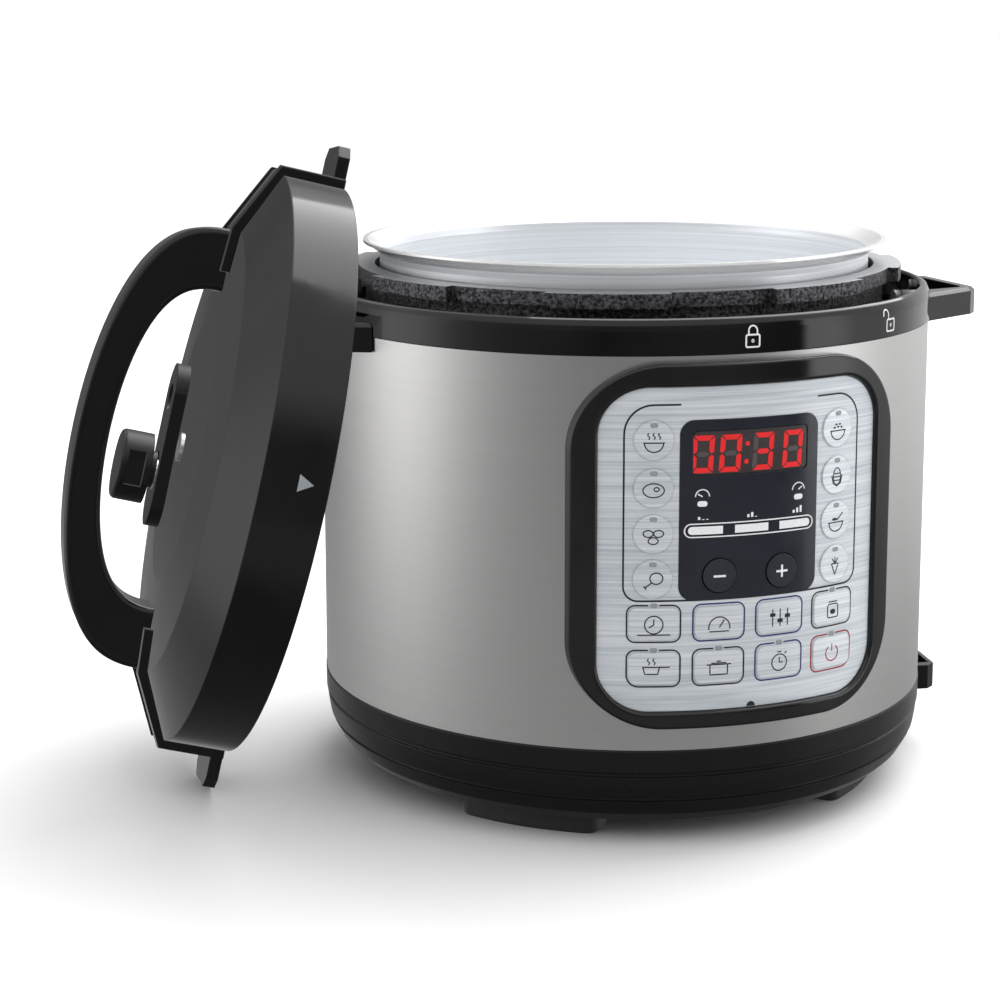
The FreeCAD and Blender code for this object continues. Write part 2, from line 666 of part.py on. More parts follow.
def lid_handle():
    """Carry handle: an arch over the lid's diameter, solid towards both ends."""
    z0 = LID_EDGE_H + 2.0
    outer = arch_curve(LID_EDGE_R - 1.0, ARCH_RISE + 2.0, z0)
    inner = arch_curve(ARCH_OPEN_HALF, ARCH_RISE - ARCH_T + 2.0, z0)
    up = Part.BSplineCurve()
    up.interpolate(outer)
    down = Part.BSplineCurve()
    down.interpolate(inner)
    edges = [up.toShape(), Part.LineSegment(outer[-1], inner[-1]).toShape(), down.toShape(),
             Part.LineSegment(inner[0], outer[0]).toShape()]
    face = Part.Face(Part.Wire(Part.__sortEdges__(edges)))
    w = ARCH_HALF_W
    face.translate(V(0, -w, 0))
    arch = face.extrude(V(0, 2 * w, 0))
    long_edges = [e for e in arch.Edges if e.BoundBox.YLength < 0.01 and e.BoundBox.XLength > 60]
    arch = arch.makeFillet(3.0, long_edges)
    arch = arch.cut(revolve(lid_outline(0.0, -1.0) + [(0.0, -1.0)]))
    return arch.cut(lid_screw_shanks())


def valve_island():
    x0, x1 = ISLAND_X
    x_r = (FLOAT_POS[0] - VALVE_POS[0])
    slab = box(x0 + 13, x1 - 13, VALVE_POS[1] - 15, VALVE_POS[1] + 15, 40, 50.5)
    ends = [cyl(15.0, 40, 50.5, x0 + 15, VALVE_POS[1]), cyl(15.0, 40, 50.5, x1 - 15, FLOAT_POS[1])]
    island = fuse([slab] + ends)
    island = island.cut(revolve(lid_outline(0.0, -1.0) + [(0.0, -1.0)]))
    island = island.cut(cyl(9.6, 30, 60, VALVE_POS[0], VALVE_POS[1]))
    return island.cut(cyl(6.4, 30, 60, FLOAT_POS[0], FLOAT_POS[1]))


def steam_pipe():
    x, y = VALVE_POS
    pipe = cyl(5.0, PAN_TOP - 2.8, 58.0, x, y).fuse(cyl(9.4, PAN_TOP, PAN_TOP + 2.0, x, y))
    nut = cyl(7.9, PAN_TOP - 2.8, PAN_TOP, x, y)
    pipe = pipe.fuse(nut).removeSplitter()
    return pipe.cut(cyl(1.5, 20, 70, x, y))


def steam_valve_knob():
    x, y = VALVE_POS
    z0, z1 = KNOB_Z
    knob = cyl(KNOB_R, z0, z1, x, y)
    top = [e for e in knob.Edges if e.BoundBox.ZMin > z1 - 0.1]
    knob = knob.makeFillet(2.5, top)
    neck = cyl(8.6, 50.9, z0 + 0.5, x, y)
    knob = fuse([knob, neck])
    recess = box(x - 8.0, x + 8.0, y - 18.0, y - 11.0, z0 + 3.0, z1 - 4.0)
    return knob.cut(recess).cut(cyl(5.05, 40, 60.0, x, y))


def float_valve():
    x, y = FLOAT_POS
    pin = cyl(3.0, 33.8, 49.0, x, y)
    cap = cyl(5.6, 44.6, 49.0, x, y)
    return pin.fuse(cap).removeSplitter()


def centre_post():
    post = cyl(4.0, 27.4, 46.0).fuse(cyl(7.0, 27.4, 28.4))
    flange = cyl(12.0, PAN_TOP, PAN_TOP + 2.0)
    nut = Part.makeCylinder(6.5, 3.0, V(0, 0, 43.4))
    return fuse([post, flange, nut, cyl(6.8, PAN_TOP - 2.0, PAN_TOP + 1.0)])


def lid_screw_shanks():
    return Part.makeCompound([cyl(2.2, 38.4, 50.0, x, y) for x, y in LID_SCREWS])


def lid_screws():
    screws = [cyl(2.2, 38.4, 50.0, x, y).fuse(cyl(3.8, 37.4, 39.6, x, y)) for x, y in LID_SCREWS]
    return Part.makeCompound([screw.removeSplitter() for screw in screws])


def inner_lid_plate():
    z, r = INNER_PLATE_Z, INNER_PLATE_R
    plate = revolve([
        (4.3, z), (40.0, z), (43.0, z + 1.2), (94.0, z + 1.2), (r - 1.0, z - 5.0), (r - 1.0, z - 7.0), (r, z - 7.0),
        (r, z - 4.4), (95.0, z + 2.2), (42.6, z + 2.2), (39.6, z + 1.0), (4.3, z + 1.0),
    ])
    plate = plate.cut(cyl(3.6, 20, 40, VALVE_POS[0], VALVE_POS[1]))
    plate = plate.cut(cyl(3.6, 20, 40, FLOAT_POS[0], FLOAT_POS[1]))
    grip = revolve([(4.3, z - 1.8), (10.2, z - 1.8), (11.0, z - 1.0), (11.0, z), (4.3, z)])
    return plate.fuse(grip).removeSplitter()


def sealing_ring():
    r0, r1 = SEAL_R
    z0, z1 = SEAL_Z
    return revolve([
        (r0 + 4.0, z0), (r1 - 1.4, z0), (r1, z0 + 1.4), (r1, z1 - 2.4), (r1 - 1.6, z1 - 1.2), (r0 + 3.0, z1 - 1.0),
        (r0 + 3.0, z1 - 2.4), (r1 - 4.0, z1 - 3.0), (r1 - 4.0, z0 + 2.0), (r0 + 4.0, z0 + 2.0),
    ])


def valve_shield():
    x, y = VALVE_POS
    cap = cyl(11.0, 24.6, INNER_PLATE_Z - 0.4, x, y).cut(cyl(9.8, 25.6, 60, x, y))
    for i in range(6):
        slot = Part.makeCylinder(1.5, 30.0, V(x, y, 28.0), key_direction(i * 60.0))
        cap = cap.cut(slot)
    return cap


def leaned(shape):
    """Moves a lid piece from the lid's own frame to where it leans beside the cooker."""
    lifted = LID_CLOSED_Z + LID_LIFT
    out = moved(shape, z=lifted)
    a = math.radians(LEAN_AZIMUTH)
    spread = 0.5 / math.tan(math.radians(LEAN_DEG / 2))
    u = -LEAN_REACH / 2 + spread * (lifted - LEAN_CENTRE_Z)
    z = (lifted + LEAN_CENTRE_Z) / 2 - spread * LEAN_REACH
    out.rotate(V(u * math.cos(a), u * math.sin(a), z), V(-math.sin(a), math.cos(a), 0), -LEAN_DEG)
    return out


def left_side(shape):
    return turn(shape, 180)


def build():
    nodes = {
        "base_shell": base_shell(),
        "bottom_cover": bottom_cover(),
        "feet": feet(),
        "base_screws": base_screws(),
        "steel_housing": steel_housing(),
        "top_ring": top_ring(),
        "handle_right": side_handle(),
        "handle_left": left_side(side_handle()),
        "handle_screws": handle_screws(),
        "outer_pot": outer_pot(),
        "locking_collar": locking_collar(),
        "heating_plate": heating_plate(),
        "temperature_sensor": temperature_sensor(),
        "sensor_spring": sensor_spring(),
        "sensor_bracket": sensor_bracket(),
        "control_bezel": control_bezel(),
        "control_fascia": control_fascia(),
        "display_window": display_window(),
        "led_display": led_display(),
        "control_board": control_board(),
        "board_frame": board_frame(),
        "power_board": power_board(),
        "pressure_switch": pressure_switch(),
        "spoon_holder": spoon_holder(),
        "power_inlet": power_inlet(),
        "inlet_pins": inlet_pins(),
        "cup_bracket": cup_bracket(),
        "condensation_cup": condensation_cup(),
        "inner_pot": inner_pot(),
    }
    for name, kind, angle, z in key_layout():
        nodes[name] = key_solid(kind, angle, z)
    lid_nodes = {
        "lid_shell": lid_shell(),
        "pressure_pan": pressure_pan(),
        "lid_strap": lid_strap(),
        "lid_handle": lid_handle(),
        "valve_island": valve_island(),
        "steam_pipe": steam_pipe(),
        "steam_valve_knob": steam_valve_knob(),
        "float_valve": float_valve(),
        "centre_post": centre_post(),
        "lid_screws": lid_screws(),
        "inner_lid_plate": inner_lid_plate(),
        "sealing_ring": sealing_ring(),
        "valve_shield": valve_shield(),
    }
    for name, shape in lid_nodes.items():
        nodes[name] = leaned(shape)
    return nodes


os.makedirs("parts", exist_ok=True)
for node, solid in build().items():
    solid.exportStep("parts/%s.step" % node)
    box_of = solid.BoundBox
    print("%-20s valid %s solids %d vol %9.1f  x %.1f %.1f y %.1f %.1f z %.1f %.1f" % (
        node, solid.isValid(), len(solid.Solids), solid.Volume, box_of.XMin, box_of.XMax, box_of.YMin, box_of.YMax,
        box_of.ZMin, box_of.ZMax))
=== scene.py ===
import json
import math

import bmesh
import bpy
from mathutils import Matrix, Vector

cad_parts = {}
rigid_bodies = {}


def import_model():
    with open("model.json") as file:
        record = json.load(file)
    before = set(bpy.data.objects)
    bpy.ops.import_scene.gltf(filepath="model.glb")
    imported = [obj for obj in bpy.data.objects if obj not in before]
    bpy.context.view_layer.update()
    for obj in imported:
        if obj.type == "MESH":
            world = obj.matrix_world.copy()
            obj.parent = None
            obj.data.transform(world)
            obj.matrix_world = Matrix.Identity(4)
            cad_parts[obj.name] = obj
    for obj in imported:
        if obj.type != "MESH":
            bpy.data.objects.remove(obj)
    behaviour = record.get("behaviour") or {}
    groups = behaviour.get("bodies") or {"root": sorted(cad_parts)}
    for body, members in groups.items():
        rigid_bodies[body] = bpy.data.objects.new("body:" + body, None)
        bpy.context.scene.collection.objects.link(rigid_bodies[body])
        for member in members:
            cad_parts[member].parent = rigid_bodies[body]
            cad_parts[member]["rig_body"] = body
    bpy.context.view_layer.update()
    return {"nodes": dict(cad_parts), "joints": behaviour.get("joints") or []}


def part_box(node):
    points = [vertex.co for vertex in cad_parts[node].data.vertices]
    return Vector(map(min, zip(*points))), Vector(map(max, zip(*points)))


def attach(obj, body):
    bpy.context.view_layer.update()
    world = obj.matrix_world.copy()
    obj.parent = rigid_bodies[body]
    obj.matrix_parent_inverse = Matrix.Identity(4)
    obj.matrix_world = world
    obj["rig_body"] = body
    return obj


# Electric pressure cooker, lid leaning on the left. Metres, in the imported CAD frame.
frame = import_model()

MM = 0.001
FACE_R = 140.4      # fascia surface, mm from the axis
WINDOW_R = 140.7
KEY_R = 141.0
STEP_R = 141.3
SKIRT_R = 129.5     # lid skirt
PRINT_T = 0.00006   # thickness of a printed shape, metres

# camera: its place and its three axes
CAMERA_AT = (-0.39508, -0.95381, 0.3499)
CAMERA_RIGHT = Vector((0.95962, -0.28109, -0.01084))
CAMERA_UP = Vector((0.05757, 0.15854, 0.98567))
CAMERA_BACK = Vector((-0.27534, -0.94650, 0.16832))
LENS = 80.7
CAMERA_SHIFT = (0.123, -0.113)

# the large overhead lamp
LAMP_DIRECTION = Vector((0.52, 0.31, 0.80))
LAMP_DISTANCE = 2.3
LAMP_SIDE = 2.2
LAMP_POWER = 50.0

# the studio: bands of light round the horizon, and plain light above and below them
SKY_LIGHT = 1.2
LOW_LIGHT = 0.40
GROUND_LIGHT = 0.15
FLOOR_REACH = 400.0
WALL_REACH = 24.0
WALL_HIGH = 20.0

# how the lid leans
LID_RIM_CENTRE = (-0.15973, 0.01763, 0.1432)
LID_LEAN = 75.9


# ------------------------------------------------------------------ camera and light


def make_camera():
    data = bpy.data.cameras.new("camera")
    data.sensor_width = 36.0
    data.lens = LENS
    data.shift_x, data.shift_y = CAMERA_SHIFT
    data.clip_end = 1000.0
    turn = Matrix((CAMERA_RIGHT, CAMERA_UP, CAMERA_BACK)).transposed().to_4x4()
    camera = bpy.data.objects.new("camera", data)
    bpy.context.scene.collection.objects.link(camera)
    camera.matrix_world = Matrix.Translation(CAMERA_AT) @ turn
    bpy.context.scene.camera = camera


# brightness round the horizon, by degrees from the front towards the right
STUDIO_BANDS = (
    (-180, 0.12), (-150, 0.35), (-132, 0.80), (-116, 1.9), (-103, 2.0), (-94, 1.45), (-85, 0.85),
    (-75, 0.55), (-60, 0.34), (-44, 0.26), (-28, 0.14), (0, 0.26), (20, 0.22), (36, 0.10), (46, 0.08),
    (49, 2.5), (61, 2.4), (72, 1.3), (85, 0.9), (100, 0.95), (116, 1.1), (140, 0.8), (160, 0.3),
    (180, 0.12),
)
BAND_SCALE = 5.0


def make_world():
    world = bpy.data.worlds.new("studio")
    bpy.context.scene.world = world
    world.use_nodes = True
    tree = world.node_tree
    tree.nodes.clear()
    net = Net(tree)
    direction = net.add("ShaderNodeSeparateXYZ")
    tree.links.new(net.add("ShaderNodeTexCoord").outputs["Generated"], direction.inputs[0])
    x, y, z = direction.outputs
    angle = net.math("ARCTAN2", x, net.math("MULTIPLY", y, -1.0))
    ramp = net.ramp(net.math("MULTIPLY_ADD", angle, 0.5 / math.pi, 0.5),
                    [(0.5 + a / 360.0, v / BAND_SCALE) for a, v in STUDIO_BANDS])
    bands = net.math("MULTIPLY", ramp, BAND_SCALE)
    mid = net.blend_value(net.map_range(z, -0.30, -0.14, 1.0, 0.0), bands, LOW_LIGHT)
    lower = net.blend_value(net.map_range(z, -0.72, -0.42, 1.0, 0.0), mid, GROUND_LIGHT)
    high = net.map_range(z, 0.26, 0.62, 0.0, 1.0)
    value = net.blend_value(high, lower, SKY_LIGHT)
    background = net.add("ShaderNodeBackground")
    tree.links.new(value, background.inputs["Strength"])
    background.inputs["Color"].default_value = (1.0, 1.0, 1.0, 1.0)
    output = net.add("ShaderNodeOutputWorld")
    tree.links.new(background.outputs[0], output.inputs[0])


def make_key_light():
    data = bpy.data.lights.new("softbox", "AREA")
    data.shape = "SQUARE"
    data.size = LAMP_SIDE
    data.energy = LAMP_POWER
    light = bpy.data.objects.new("softbox", data)
    aim = LAMP_DIRECTION.normalized()
    light.location = aim * LAMP_DISTANCE
    light.rotation_euler = aim.to_track_quat("Z", "Y").to_euler()
    bpy.context.scene.collection.objects.link(light)


# ------------------------------------------------------------------ materials


class Net:
    """Short calls for building a node tree."""

    def __init__(self, tree):
        self.tree = tree

    def add(self, kind, **values):
        node = self.tree.nodes.new(kind)
        for key, value in values.items():
            setattr(node, key, value)
        return node

    def feed(self, socket, value):
        if isinstance(value, bpy.types.NodeSocket):
            self.tree.links.new(value, socket)
        else:
            socket.default_value = value

    def math(self, operation, a, b, c=0.0):
        node = self.add("ShaderNodeMath", operation=operation)
        for socket, value in zip(node.inputs, (a, b, c)):
            self.feed(socket, value)
        return node.outputs[0]

    def map_range(self, value, low, high, to_low, to_high):
        node = self.add("ShaderNodeMapRange", interpolation_type="SMOOTHSTEP")
        for name, v in (("Value", value), ("From Min", low), ("From Max", high), ("To Min", to_low),
                        ("To Max", to_high)):
            self.feed(node.inputs[name], v)
        return node.outputs[0]

    def blend_value(self, factor, a, b):
        node = self.add("ShaderNodeMix", data_type="FLOAT")
        for socket, value in zip((node.inputs[0], node.inputs[2], node.inputs[3]), (factor, a, b)):
            self.feed(socket, value)
        return node.outputs[0]

    def blend_color(self, factor, a, b):
        node = self.add("ShaderNodeMix", data_type="RGBA")
        for socket, value in zip((node.inputs[0], node.inputs[6], node.inputs[7]), (factor, a, b)):
            self.feed(socket, value)
        return node.outputs[2]

    def ramp(self, value, stops):
        node = self.add("ShaderNodeValToRGB")
        elements = node.color_ramp.elements
        while len(elements) < len(stops):
            elements.new(0.5)
        for element, (position, grey) in zip(elements, stops):
            element.position = position
        for element, (position, grey) in zip(elements, stops):
            element.color = (grey, grey, grey, 1.0)
        self.feed(node.inputs[0], value)
        return node.outputs[0]

    def place(self, scale):
        """Object coordinates, stretched by three scales."""
        node = self.add("ShaderNodeMapping")
        node.inputs["Scale"].default_value = scale
        self.tree.links.new(self.add("ShaderNodeTexCoord").outputs["Object"], node.inputs["Vector"])
        return node.outputs[0]

    def noise(self, where, scale, detail=2.0, rough=0.5):
        node = self.add("ShaderNodeTexNoise")
        self.feed(node.inputs["Vector"], where)
        node.inputs["Scale"].default_value = scale
        node.inputs["Detail"].default_value = detail
        node.inputs["Roughness"].default_value = rough
        return node.outputs[0]

    def bump(self, height, strength, distance, normal=None):
        node = self.add("ShaderNodeBump")
        node.inputs["Strength"].default_value = strength
        node.inputs["Distance"].default_value = distance
        self.feed(node.inputs["Height"], height)
        if normal is not None:
            self.tree.links.new(normal, node.inputs["Normal"])
        return node.outputs[0]

    def soft_edges(self, radius):
        node = self.add("ShaderNodeBevel", samples=4)
        node.inputs["Radius"].default_value = radius
        return node.outputs[0]


def rgb(r, g, b):
    return (r, g, b, 1.0)


def scaled(color, factor):
    return [min(1.0, c * factor) for c in color[:3]] + [1.0]


def new_material(name, color, rough, **sockets):
    material = bpy.data.materials.new(name)
    material.use_nodes = True
    shader = material.node_tree.nodes["Principled BSDF"]
    shader.inputs["Base Color"].default_value = color
    shader.inputs["Roughness"].default_value = rough
    for key, value in sockets.items():
        shader.inputs[key.replace("_", " ")].default_value = value
    material.diffuse_color = color
    return material, Net(material.node_tree), shader


def vary(net, shader, name, noise, low, high):
    net.feed(shader.inputs[name], net.map_range(noise, 0.3, 0.7, low, high))


def vary_color(net, shader, noise, a, b):
    net.feed(shader.inputs["Base Color"], net.blend_color(net.map_range(noise, 0.3, 0.7, 0.0, 1.0), a, b))


def gloss_black(name="gloss_black", rough=0.10, edge=0.0007, tint=0.005, level=0.45):
    """Moulded glossy black plastic with faint waviness and soft edges."""
    material, net, shader = new_material(name, rgb(tint, tint, tint * 1.1), rough, Specular_IOR_Level=level)
    where = net.place((1, 1, 1))
    wide = net.noise(where, 38.0, 3.0)
    vary(net, shader, "Roughness", wide, rough * 0.8, rough * 1.35)
    vary_color(net, shader, wide, rgb(tint * 0.8, tint * 0.8, tint * 0.9),
               rgb(tint * 1.3, tint * 1.3, tint * 1.4))
    ripple = net.bump(net.noise(where, 160.0, 1.0), 0.05, 0.0004, net.soft_edges(edge))
    net.feed(shader.inputs["Normal"], ripple)
    return material


def satin_black(name="satin_black", rough=0.36, grain=1400.0, tint=0.012, level=0.35):
    """Moulded black plastic with a fine spark-eroded grain."""
    material, net, shader = new_material(name, rgb(tint, tint, tint * 1.08), rough, Specular_IOR_Level=level)
    where = net.place((1, 1, 1))
    fine = net.noise(where, grain, 2.0)
    wide = net.noise(where, 30.0, 3.0)
    vary(net, shader, "Roughness", wide, rough - 0.04, rough + 0.07)
    vary_color(net, shader, fine, rgb(tint * 0.8, tint * 0.8, tint * 0.9),
               rgb(tint * 1.35, tint * 1.35, tint * 1.4))
    net.feed(shader.inputs["Normal"], net.bump(fine, 0.16, 0.0002, net.soft_edges(0.0006)))
    return material


def brushed_steel(name, color, rough, streak, lines, along=(5, 5, 1)):
    """Brushed metal: long fine streaks round the Z axis."""
    material, net, shader = new_material(name, color, rough, Metallic=1.0, Anisotropic=0.55)
    fine = net.noise(net.place((along[0], along[1], lines)), 1.0, 4.0, 0.6)
    broad = net.noise(net.place((along[0] * 0.7, along[1] * 0.7, lines * 0.12)), 1.0, 3.0)
    both = net.math("MULTIPLY_ADD", broad, 0.2, net.math("MULTIPLY", fine, 0.8))
    vary_color(net, shader, both, scaled(color, 1.0 - streak), scaled(color, 1.0 + streak * 0.6))
    vary(net, shader, "Roughness", fine, rough - 0.02, rough + 0.02)
    net.feed(shader.inputs["Normal"], net.bump(fine, 0.01, 0.0001))
    tangent = net.add("ShaderNodeTangent", direction_type="RADIAL", axis="Z")
    net.feed(shader.inputs["Tangent"], tangent.outputs[0])
    return material


def turned_metal(name, color, rough, grain=900.0):
    """Machined or pressed metal with fine scratches and soft edges."""
    material, net, shader = new_material(name, color, rough, Metallic=1.0)
    fine = net.noise(net.place((1, 0.2, 1)), grain, 3.0)
    wide = net.noise(net.place((1, 1, 1)), 24.0, 3.0)
    vary(net, shader, "Roughness", wide, rough - 0.05, rough + 0.08)
    vary_color(net, shader, wide, scaled(color, 0.9), scaled(color, 1.06))
    net.feed(shader.inputs["Normal"], net.bump(fine, 0.12, 0.0001, net.soft_edges(0.0003)))
    return material


def cast_collar():
    """Cast aluminium: a machined top face, lumpy dark sand-cast sides."""
    material, net, shader = new_material("cast_aluminium", rgb(0.3, 0.3, 0.31), 0.5, Metallic=0.85)
    where = net.place((1, 1, 1))
    up = net.add("ShaderNodeSeparateXYZ")
    net.tree.links.new(net.add("ShaderNodeNewGeometry").outputs["Normal"], up.inputs[0])
    top = net.map_range(up.outputs[2], 0.80, 0.93, 0.0, 1.0)
    grit = net.noise(where, 620.0, 3.0, 0.65)
    lump = net.noise(where, 210.0, 2.0)
    rough_color = net.blend_color(net.map_range(grit, 0.35, 0.66, 0.0, 1.0), rgb(0.02, 0.02, 0.022),
                                  rgb(0.17, 0.17, 0.18))
    net.feed(shader.inputs["Base Color"], net.blend_color(top, rough_color, rgb(0.46, 0.47, 0.49)))
    net.feed(shader.inputs["Roughness"], net.blend_value(top, 0.48, 0.30))
    height = net.math("MULTIPLY_ADD", lump, 0.5, grit)
    soft = net.math("MULTIPLY", height, net.math("SUBTRACT", 1.0, top))
    net.feed(shader.inputs["Normal"], net.bump(soft, 0.8, 0.0007, net.soft_edges(0.0009)))
    return material


def pot_metal():
    """Inner pot: satin wall with fine turning lines and a bright polished rim."""
    low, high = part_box("inner_pot")
    material, net, shader = new_material("pot_aluminium", rgb(0.9, 0.91, 0.92), 0.28, Metallic=0.35)
    where = net.add("ShaderNodeSeparateXYZ")
    net.tree.links.new(net.add("ShaderNodeTexCoord").outputs["Object"], where.inputs[0])
    rim = net.map_range(where.outputs[2], high.z - 0.0045, high.z - 0.003, 0.0, 1.0)
    lines = net.noise(net.place((3, 3, 1800)), 1.0, 3.0)
    wall = net.blend_color(net.map_range(lines, 0.3, 0.7, 0.0, 1.0), rgb(0.74, 0.76, 0.79),
                           rgb(0.90, 0.92, 0.94))
    net.feed(shader.inputs["Base Color"], net.blend_color(rim, wall, rgb(0.95, 0.95, 0.95)))
    net.feed(shader.inputs["Roughness"], net.blend_value(rim, 0.36, 0.16))
    net.feed(shader.inputs["Normal"], net.bump(lines, 0.06, 0.0001, net.soft_edges(0.0005)))
    return material


def fascia_silver():
    """Silver membrane with fine horizontal lines."""
    material, net, shader = new_material("fascia_silver", rgb(0.58, 0.61, 0.64), 0.42, Metallic=0.3)
    fine = net.noise(net.place((9, 9, 1500)), 1.0, 4.0, 0.62)
    broad = net.noise(net.place((26, 26, 420)), 1.0, 2.0)
    both = net.math("MULTIPLY_ADD", broad, 0.35, net.math("MULTIPLY", fine, 0.65))
    vary_color(net, shader, both, rgb(0.44, 0.48, 0.52), rgb(0.72, 0.75, 0.78))
    vary(net, shader, "Roughness", fine, 0.38, 0.50)
    net.feed(shader.inputs["Normal"], net.bump(fine, 0.08, 0.0001, net.soft_edges(0.0004)))
    return material


def key_silver():
    material, net, shader = new_material("key_silver", rgb(0.70, 0.73, 0.76), 0.34, Metallic=0.4)
    fine = net.noise(net.place((12, 12, 1500)), 1.0, 3.0)
    vary_color(net, shader, fine, rgb(0.54, 0.58, 0.62), rgb(0.76, 0.79, 0.82))
    net.feed(shader.inputs["Normal"], net.bump(fine, 0.05, 0.0001, net.soft_edges(0.0007)))
    return material


def dark_panel(name, color, rough):
    material, net, shader = new_material(name, color, rough, Coat_Weight=0.2, Coat_Roughness=0.1)
    haze = net.noise(net.place((1, 1, 1)), 60.0, 3.0)
    vary(net, shader, "Roughness", haze, rough - 0.04, rough + 0.05)
    vary_color(net, shader, haze, scaled(color, 0.9), scaled(color, 1.15))
    net.feed(shader.inputs["Normal"], net.soft_edges(0.0005))
    return material


def printed(name, color, rough=0.5, glow=0.0):
    """Screen-printed ink, slightly mottled, or a lit segment."""
    material, net, shader = new_material(name, color, rough)
    if glow:
        shader.inputs["Emission Color"].default_value = color
        shader.inputs["Emission Strength"].default_value = glow
    mottle = net.noise(net.place((1, 1, 1)), 2600.0, 2.0)
    vary_color(net, shader, mottle, scaled(color, 0.85), scaled(color, 1.12))
    vary(net, shader, "Roughness", mottle, rough - 0.08, rough + 0.08)
    return material


def soft_rubber(name, color, rough, clear=0.0):
    material, net, shader = new_material(name, color, rough, Subsurface_Weight=clear,
                                         Subsurface_Radius=(0.003, 0.003, 0.003))
    where = net.place((1, 1, 1))
    fine = net.noise(where, 1100.0, 2.0)
    vary_color(net, shader, net.noise(where, 45.0, 3.0), scaled(color, 0.88), scaled(color, 1.08))
    vary(net, shader, "Roughness", fine, rough - 0.06, rough + 0.08)
    net.feed(shader.inputs["Normal"], net.bump(fine, 0.15, 0.0002, net.soft_edges(0.0005)))
    return material


def clear_cup():
    material, net, shader = new_material("clear_cup", rgb(0.86, 0.90, 0.93), 0.12, IOR=1.49)
    shader.inputs["Transmission Weight"].default_value = 0.9
    haze = net.noise(net.place((1, 1, 1)), 80.0, 3.0)
    vary(net, shader, "Roughness", haze, 0.06, 0.2)
    net.feed(shader.inputs["Normal"], net.bump(haze, 0.03, 0.0003, net.soft_edges(0.0005)))
    return material


def circuit_board():
    material, net, shader = new_material("circuit_board", rgb(0.02, 0.14, 0.06), 0.4)
    cells = net.add("ShaderNodeTexVoronoi")
    cells.inputs["Scale"].default_value = 260.0
    net.tree.links.new(net.place((1, 1, 1)), cells.inputs["Vector"])
    track = net.map_range(cells.outputs["Distance"], 0.25, 0.32, 0.0, 1.0)
    board = net.blend_color(track, rgb(0.03, 0.20, 0.09), rgb(0.015, 0.11, 0.05))
    net.feed(shader.inputs["Base Color"], board)
    net.feed(shader.inputs["Normal"], net.bump(track, 0.2, 0.0002))
    return material


make_camera()
make_world()
make_key_light()

MAT = {
    "gloss": gloss_black(),
    "ring": gloss_black("ring_gloss", 0.05, 0.0008, 0.003, 0.36),
    "lid": gloss_black("lid_gloss", 0.12, 0.0010, 0.003, 0.36),
    "satin": satin_black("satin_black", 0.28, 1400.0, 0.004, 0.26),
    "deep": satin_black("valve_black", 0.36, 1800.0, 0.005),
    "rubber": soft_rubber("foot_rubber", rgb(0.016, 0.016, 0.017), 0.6),
    "steel": brushed_steel("brushed_steel", rgb(0.60, 0.595, 0.59), 0.34, 0.04, 3600.0, (3, 3, 1)),
    "pressed": turned_metal("pressed_steel", rgb(0.66, 0.66, 0.66), 0.26),
    "zinc": turned_metal("zinc_steel", rgb(0.62, 0.63, 0.65), 0.32),
    "spun": brushed_steel("spun_aluminium", rgb(0.66, 0.66, 0.66), 0.40, 0.08, 1600.0),
    "cast": cast_collar(),
    "plate": turned_metal("machined_aluminium", rgb(0.68, 0.68, 0.69), 0.34, 700.0),
    "pot": pot_metal(),
    "fascia": fascia_silver(),
    "key": key_silver(),
    "window": dark_panel("window_navy", rgb(0.007, 0.009, 0.017), 0.2),
    "step_key": dark_panel("step_key_dark", rgb(0.014, 0.015, 0.024), 0.28),
    "filter": dark_panel("display_filter", rgb(0.035, 0.026, 0.028), 0.25),
    "board": circuit_board(),
    "natural": soft_rubber("natural_plastic", rgb(0.62, 0.61, 0.58), 0.45),
    "silicone": soft_rubber("silicone", rgb(0.72, 0.72, 0.70), 0.38, 0.3),
    "brass": turned_metal("brass_pins", rgb(0.78, 0.62, 0.32), 0.28),
    "cup": clear_cup(),
    "ink": printed("ink_black", rgb(0.012, 0.012, 0.014)),
    "ink_blue": printed("ink_blue", rgb(0.012, 0.014, 0.13)),
    "ink_red": printed("ink_red", rgb(0.30, 0.012, 0.02)),
    "ink_white": printed("ink_white", rgb(0.72, 0.73, 0.75)),
    "lamp": printed("lamp_grey", rgb(0.25, 0.265, 0.28), 0.3),
    "digit": printed("digit_red", rgb(0.52, 0.001, 0.002), 0.6, 0.42),
    "ghost": printed("digit_ghost", rgb(0.075, 0.06, 0.062), 0.4),
}

NODE_MATERIAL = {
    "ring": "top_ring",
    "gloss": "handle_right handle_left control_bezel",
    "lid": "lid_shell lid_strap lid_handle",
    "satin": "base_shell bottom_cover spoon_holder power_inlet cup_bracket",
    "deep": "valve_island steam_valve_knob",
    "rubber": "feet",
    "steel": "steel_housing",
    "pressed": "pressure_pan inner_lid_plate steam_pipe centre_post float_valve",
    "zinc": "base_screws handle_screws lid_screws sensor_spring sensor_bracket",
    "spun": "outer_pot",
    "cast": "locking_collar",
    "plate": "heating_plate temperature_sensor",
    "pot": "inner_pot",
    "fascia": "control_fascia",
    "window": "display_window",
    "step_key": "key_minus key_plus",
    "filter": "led_display",
    "board": "control_board power_board",
    "natural": "board_frame pressure_switch",
    "silicone": "sealing_ring valve_shield",
    "brass": "inlet_pins",
    "cup": "condensation_cup",
}


def dress_nodes():
    chosen = {}
    for key, names in NODE_MATERIAL.items():
        for name in names.split():
            chosen[name] = key
    for name, node in frame["nodes"].items():
        material = MAT[chosen.get(name, "key")]
        node.data.materials.clear()
        node.data.materials.append(material)
        if node["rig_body"] in ("lid", "inner_lid", "steam_knob", "float_pin"):
            node.visible_glossy = False


# ------------------------------------------------------------------ printed shapes


